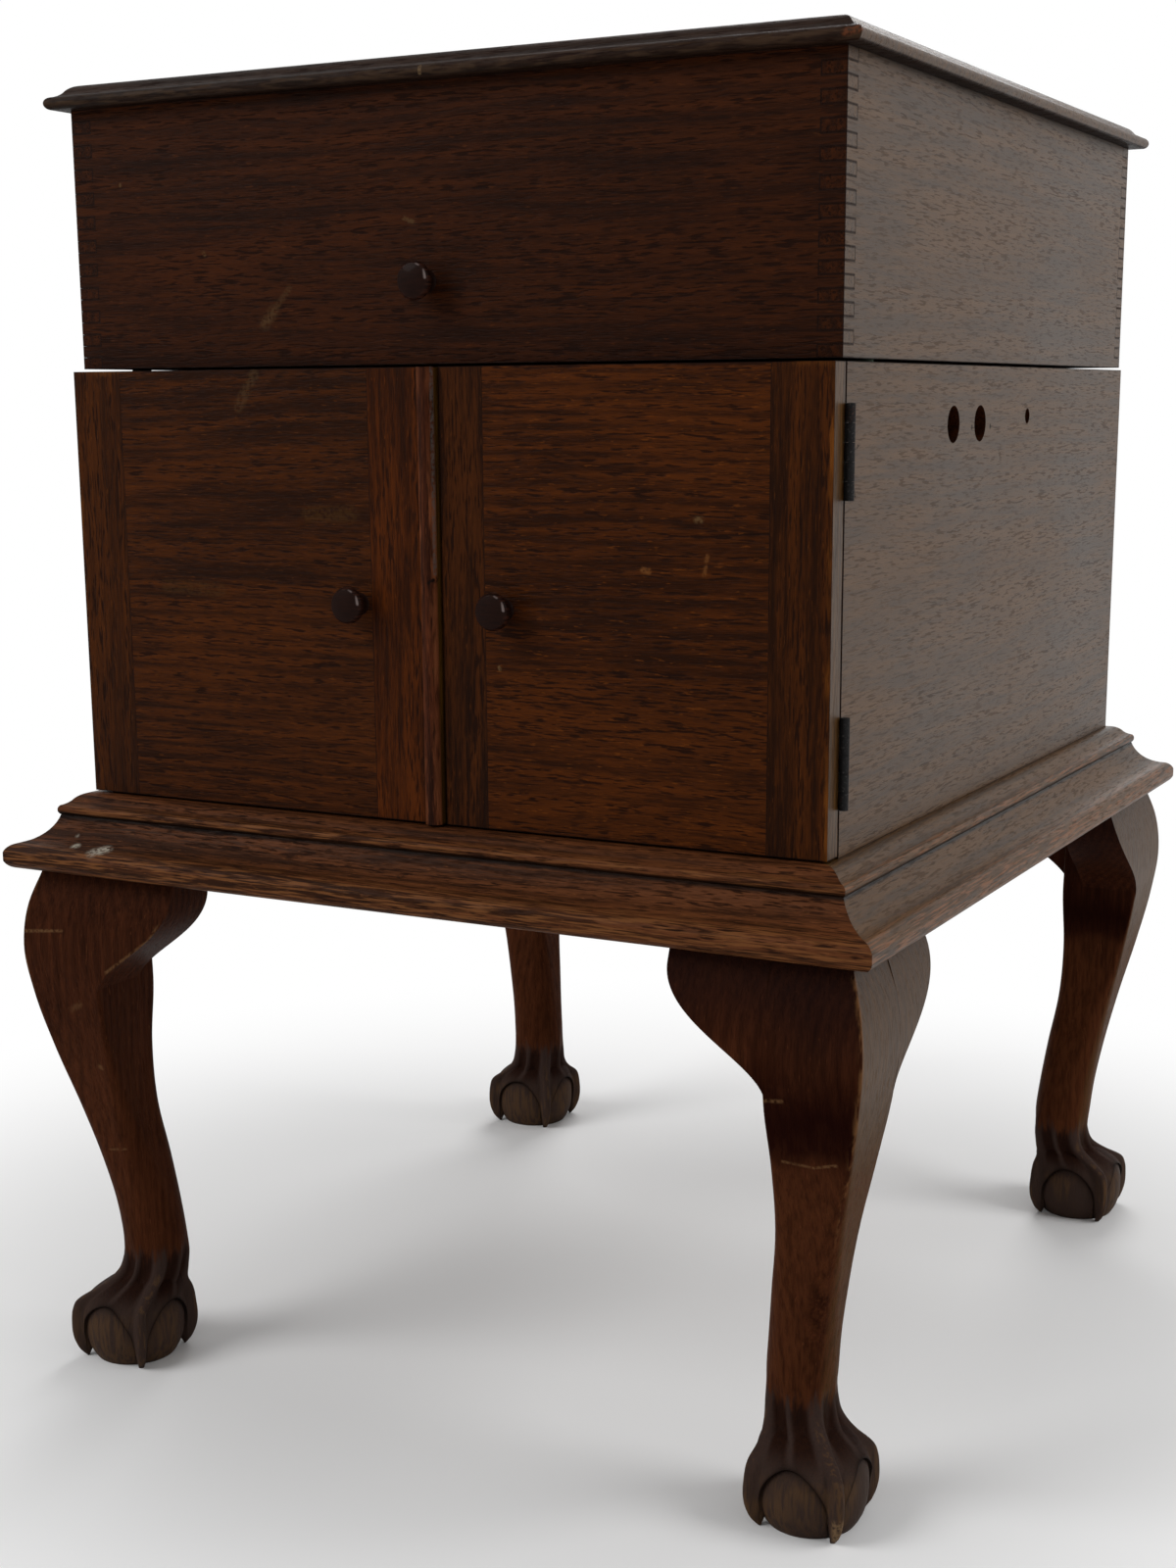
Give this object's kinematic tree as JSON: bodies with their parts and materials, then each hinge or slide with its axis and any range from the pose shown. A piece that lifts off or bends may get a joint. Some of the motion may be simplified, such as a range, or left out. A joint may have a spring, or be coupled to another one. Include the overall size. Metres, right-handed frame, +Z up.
{
  "type": "storage cabinet",
  "caption": "Oak storage cabinet on cabriole legs with ball-and-claw feet: a lift-up comb-jointed hood over a shallow well, above a cupboard with flush hinged doors.",
  "frame": {"origin": "on the floor under the middle of the cabinet", "axes": "+X to the cabinet's right as seen from its front, +Y to its back, +Z up"},
  "size_m": [0.585, 0.642, 0.8116],
  "materials": {
    "oak_case": "worn dark stain and wax",
    "oak_hood": "worn dark stain and wax",
    "oak_top": "worn dark stain and wax",
    "oak_panel": "worn dark stain and wax",
    "oak_stile": "worn dark stain and wax",
    "moulding": "dark stain, worn on the edges",
    "leg_wood": "worn dark stain, dull",
    "knob_wood": "dark polish",
    "hinge_iron": "blackened",
    "felt": "felt"
  },
  "bodies": {
    "case": {"case_left_side": "oak_case", "case_right_side": "oak_case", "case_back": "oak_case", "case_bottom": "oak_case", "deck_board": "oak_case", "front_rail": "oak_case", "bead_rail_front": "moulding", "bead_rail_right": "moulding", "bead_rail_back": "moulding", "bead_rail_left": "moulding", "hollow_rail_front": "moulding", "hollow_rail_right": "moulding", "hollow_rail_back": "moulding", "hollow_rail_left": "moulding", "leg_front_left": "leg_wood", "leg_front_right": "leg_wood", "leg_back_left": "leg_wood", "leg_back_right": "leg_wood", "knee_blocks_front_left": "leg_wood", "knee_blocks_front_right": "leg_wood", "knee_blocks_back_left": "leg_wood", "knee_blocks_back_right": "leg_wood", "left_hinge_case_leaves": "hinge_iron", "left_hinge_pins": "hinge_iron", "right_hinge_case_leaves": "hinge_iron", "right_hinge_pins": "hinge_iron", "hood_hinge_case_leaves": "hinge_iron", "hood_hinge_pins": "hinge_iron", "hood_buffers": "felt"},
    "hood": {"hood_front": "oak_hood", "hood_back": "oak_hood", "hood_left_side": "oak_hood", "hood_right_side": "oak_hood", "top_panel": "oak_top", "hood_knob": "knob_wood", "hood_hinge_hood_leaves": "hinge_iron"},
    "left_door": {"left_panel": "oak_panel", "left_outer_stile": "oak_stile", "left_inner_stile": "oak_stile", "closing_strip": "oak_stile", "left_knob": "knob_wood", "left_hinge_door_leaves": "hinge_iron"},
    "right_door": {"right_panel": "oak_panel", "right_inner_stile": "oak_stile", "right_outer_stile": "oak_stile", "right_knob": "knob_wood", "right_hinge_door_leaves": "hinge_iron"}
  },
  "joints": [
    {"name": "hood_lift", "type": "hinge", "parent": "case", "child": "hood", "pos_m": [0, 0.27545, 0.6472], "axis": [-1, 0, 0], "range_deg": [0, 92]},
    {"name": "left_door_swing", "type": "hinge", "parent": "case", "child": "left_door", "pos_m": [-0.2529, -0.2633, 0.5], "axis": [0, 0, -1], "range_deg": [0, 170]},
    {"name": "right_door_swing", "type": "hinge", "parent": "case", "child": "right_door", "pos_m": [0.2529, -0.2633, 0.5], "axis": [0, 0, 1], "range_deg": [0, 170]}
  ]
}
